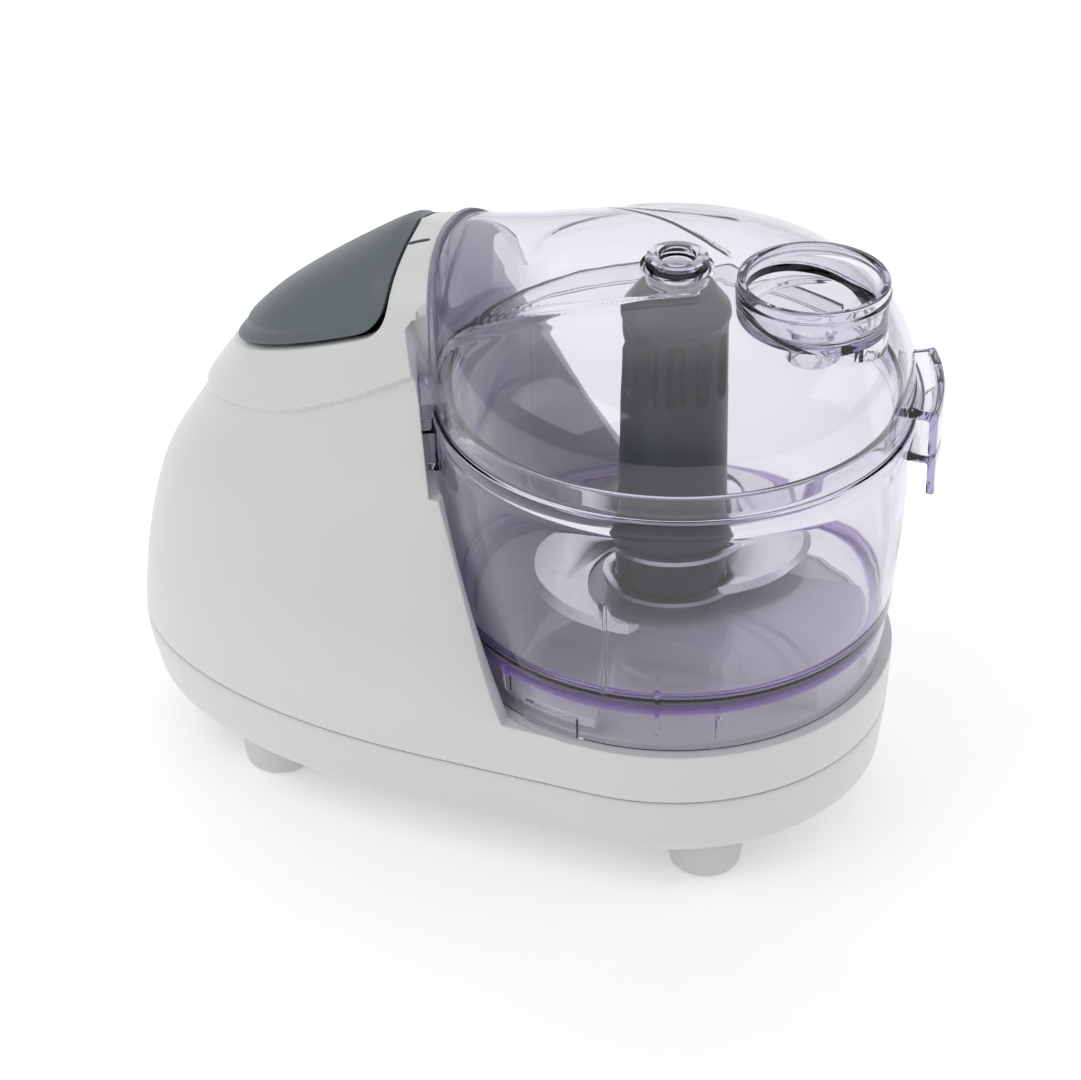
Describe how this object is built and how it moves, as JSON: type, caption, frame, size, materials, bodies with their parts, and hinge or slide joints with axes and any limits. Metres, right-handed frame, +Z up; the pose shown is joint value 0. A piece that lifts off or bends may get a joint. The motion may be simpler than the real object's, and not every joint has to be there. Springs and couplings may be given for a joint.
{
  "type": "mini food processor",
  "caption": "Small food processor: a clear chopping bowl with lid and blade beside a rounded motor tower with a rocker button, on a common base with feet.",
  "frame": {"origin": "on the table, under the middle of the bounding box", "axes": "+X from the motor tower to the bowl, the longest side; -Y towards the front; +Z up"},
  "size_m": [0.2236, 0.1268, 0.162],
  "materials": {
    "casing_white": "smooth gloss",
    "button_slate": "satin",
    "clear_plastic": "clear gloss",
    "pale_plastic": "satin",
    "dark_plastic": "satin",
    "rubber": "matt",
    "steel": "brushed",
    "copper": "varnished",
    "carbon": "matt",
    "brass": "plain"
  },
  "bodies": {
    "housing": {"upper_casing": "casing_white", "base_cover": "casing_white", "foot_front_left": "pale_plastic", "foot_front_right": "pale_plastic", "foot_rear_left": "pale_plastic", "foot_rear_right": "pale_plastic", "switch_block": "pale_plastic", "inlet_grommet": "dark_plastic", "interlock_switch": "dark_plastic", "drive_belt": "rubber", "spindle_seal": "rubber", "casing_screw_1": "steel", "casing_screw_2": "steel", "casing_screw_3": "steel", "casing_screw_4": "steel", "rocker_pivot_pin": "steel", "button_spring_left": "steel", "button_spring_right": "steel", "interlock_spring": "steel", "motor_stator": "steel", "motor_bracket_lower": "steel", "motor_bracket_upper": "steel", "field_coil_lower": "copper", "field_coil_upper": "copper", "carbon_brush_left": "carbon", "carbon_brush_right": "carbon", "switch_contacts_left": "brass", "switch_contacts_right": "brass", "brush_holder_left": "brass", "brush_holder_right": "brass", "motor_bearing_lower": "brass", "motor_bearing_upper": "brass", "spindle_bush_lower": "brass", "spindle_bush_upper": "brass"},
    "button": {"rocker_button": "button_slate"},
    "plunger": {"interlock_plunger": "pale_plastic"},
    "armature": {"armature_core": "steel", "commutator": "copper", "motor_shaft": "steel", "motor_pulley": "pale_plastic"},
    "spindle": {"drive_spindle": "steel", "driven_pulley": "pale_plastic", "pulley_circlip": "steel"},
    "bowl_carrier": {"thrust_washer": "pale_plastic"},
    "bowl": {"bowl": "clear_plastic"},
    "blade": {"blade_hub": "button_slate", "drive_socket": "pale_plastic", "lower_blade": "steel", "upper_blade": "steel"},
    "lid_carrier": {"lid_centre_bush": "pale_plastic"},
    "lid": {"lid": "clear_plastic"}
  },
  "joints": [
    {"name": "button_rock", "type": "hinge", "parent": "housing", "child": "button", "pos_m": [-0.05532, 0, 0.12851], "axis": [0.922, 0, 0.3872], "range_deg": [-2.5, 2.5], "stiffness_Nm_per_rad": 2, "deforming": ["button_spring_left", "button_spring_right"]},
    {"name": "interlock_slide", "type": "slide", "parent": "housing", "child": "plunger", "axis": [0.8, -0.6, 0], "range_m": [0, 0.0012]},
    {"name": "motor_spin", "type": "hinge", "parent": "housing", "child": "armature", "pos_m": [-0.05832, 0, 0.07], "axis": [0, 0, 1], "continuous": true},
    {"name": "spindle_spin", "type": "hinge", "parent": "housing", "child": "spindle", "pos_m": [0.04168, 0, 0.07], "axis": [0, 0, 1], "continuous": true},
    {"name": "bowl_lift", "type": "slide", "parent": "housing", "child": "bowl_carrier", "axis": [0, 0, 1], "range_m": [0, 0.13]},
    {"name": "bowl_twist", "type": "hinge", "parent": "bowl_carrier", "child": "bowl", "pos_m": [0.04168, 0, 0.08], "axis": [0, 0, 1], "range_deg": [0, 20]},
    {"name": "blade_spin", "type": "hinge", "parent": "bowl_carrier", "child": "blade", "pos_m": [0.04168, 0, 0.08], "axis": [0, 0, 1], "continuous": true},
    {"name": "lid_lift", "type": "slide", "parent": "bowl", "child": "lid_carrier", "axis": [0, 0, 1], "range_m": [0, 0.06]},
    {"name": "lid_twist", "type": "hinge", "parent": "lid_carrier", "child": "lid", "pos_m": [0.04168, 0, 0.12], "axis": [0, 0, 1], "range_deg": [0, 20]}
  ],
  "couplings": [
    {"joint": "spindle_spin", "follows": "motor_spin", "ratio": 0.2949},
    {"joint": "blade_spin", "follows": "motor_spin", "ratio": 0.2949},
    {"joint": "interlock_slide", "follows": "lid_twist", "m_per_rad": 0.00343}
  ]
}
